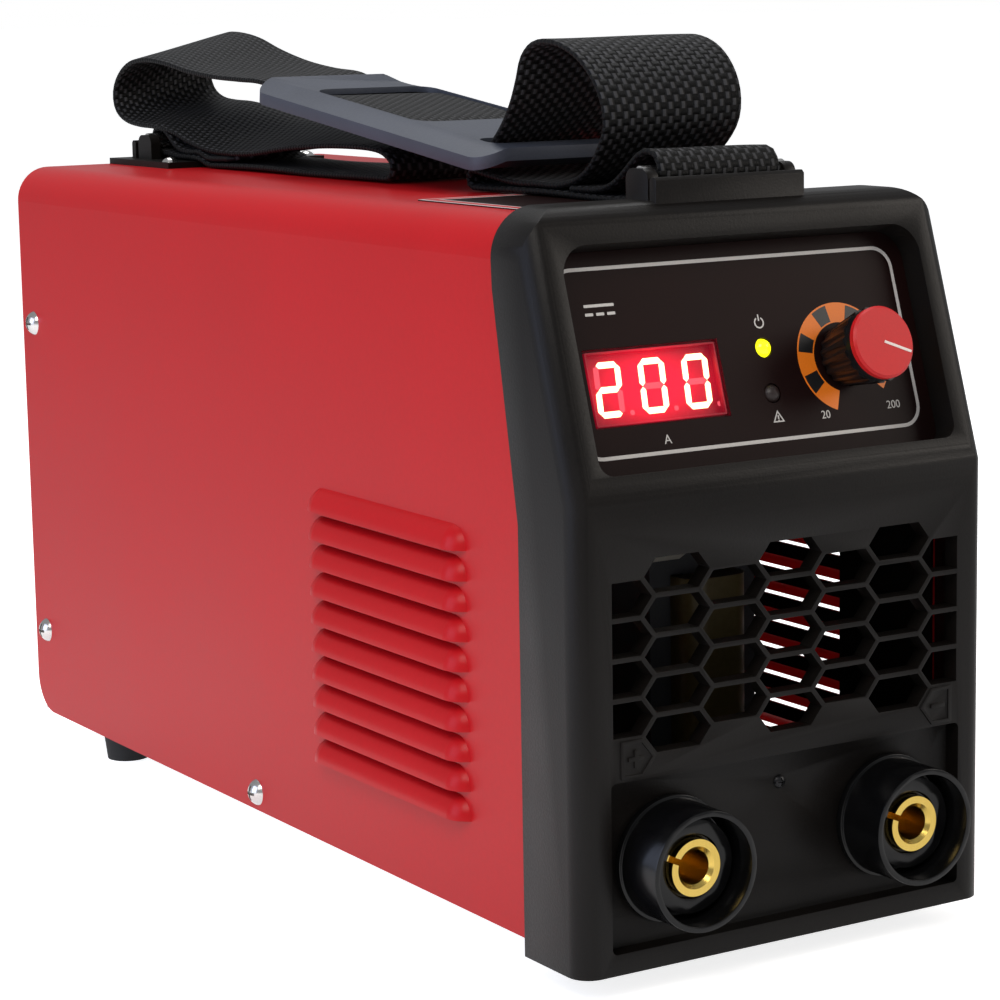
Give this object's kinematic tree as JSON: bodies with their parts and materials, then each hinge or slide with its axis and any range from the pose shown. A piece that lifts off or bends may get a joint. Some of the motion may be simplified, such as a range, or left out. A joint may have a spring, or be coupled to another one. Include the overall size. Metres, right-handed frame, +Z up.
{
  "type": "stick welding inverter",
  "caption": "Portable stick welding inverter: louvred red sheet case, leaning black control panel with red meter and knob, twin brass output sockets, rear fan and carrying strap.",
  "frame": {"origin": "under the middle of the whole part, on the floor that the rubber feet stand on", "axes": "+Z up, -Y out of the front face, +X to the right as seen from the front"},
  "size_m": [0.1336, 0.379, 0.236],
  "materials": {
    "red_paint": "gloss",
    "zinc_sheet": "satin",
    "black_moulding": "satin",
    "gloss_black": "gloss",
    "red_cap": "gloss",
    "white_mark": "gloss",
    "display_red": "gloss",
    "digit_light": "emissive",
    "lamp_lit": "emissive",
    "lamp_dark": "gloss",
    "bright_steel": "polished",
    "black_steel": "satin",
    "brass": "polished",
    "copper": "satin",
    "foot_rubber": "matte",
    "webbing": "woven",
    "pad_plastic": "satin",
    "board_green": "satin",
    "heatsink_aluminium": "satin",
    "capacitor_sleeve": "gloss",
    "ferrite": "matte",
    "winding_tape": "satin",
    "ribbon_grey": "satin",
    "rocker_red": "gloss"
  },
  "bodies": {
    "case": {"top_cover": "red_paint", "base_plate": "zinc_sheet", "rear_panel": "zinc_sheet", "front_bezel": "black_moulding", "panel_overlay": "black_moulding", "top_label": "gloss_black", "display_window": "display_red", "display_module": "black_moulding", "meter_digits": "digit_light", "power_lamp": "lamp_lit", "fault_lamp": "lamp_dark", "control_body": "zinc_sheet", "control_nut": "bright_steel", "display_board": "board_green", "display_standoffs": "brass", "negative_shell": "gloss_black", "positive_shell": "gloss_black", "negative_contact": "brass", "positive_contact": "brass", "socket_locknuts": "black_moulding", "socket_nuts": "bright_steel", "negative_busbar": "copper", "positive_busbar": "copper", "strap_bars": "bright_steel", "rear_lug": "black_moulding", "lug_screws": "bright_steel", "shoulder_strap": "webbing", "strap_pad": "pad_plastic", "rubber_feet": "foot_rubber", "foot_screws": "bright_steel", "cover_screws": "bright_steel", "bezel_screw": "black_steel", "fan_frame": "black_moulding", "fan_screws": "bright_steel", "fan_guard": "bright_steel", "switch_housing": "black_moulding", "cable_gland": "black_moulding", "gland_nut": "black_moulding", "earth_stud": "brass", "earth_nuts": "bright_steel", "power_board": "board_green", "board_standoffs": "brass", "board_screws": "bright_steel", "control_board": "board_green", "ribbon_cable": "ribbon_grey", "igbt_heatsink": "heatsink_aluminium", "diode_heatsink": "heatsink_aluminium", "power_transistors": "gloss_black", "output_diodes": "gloss_black", "bulk_capacitors": "capacitor_sleeve", "bridge_rectifier": "gloss_black", "transformer_core": "ferrite", "transformer_winding": "winding_tape", "output_choke": "copper"},
    "knob": {"knob_body": "black_moulding", "knob_cap": "red_cap", "knob_pointer": "white_mark", "control_shaft": "bright_steel"},
    "rocker": {"switch_rocker": "rocker_red"},
    "fan": {"fan_rotor": "black_moulding"}
  },
  "joints": [
    {"name": "knob_turn", "type": "hinge", "parent": "case", "child": "knob", "pos_m": [0.03, -0.16104, 0.15477], "axis": [0, -0.9511, 0.309], "range_deg": [-25, 247]},
    {"name": "rocker_press", "type": "hinge", "parent": "case", "child": "rocker", "pos_m": [-0.028, 0.15915, 0.159], "axis": [1, 0, 0], "range_deg": [-18, 0]},
    {"name": "fan_spin", "type": "hinge", "parent": "case", "child": "fan", "pos_m": [0, 0.15, 0.07], "axis": [0, 1, 0], "continuous": true}
  ]
}
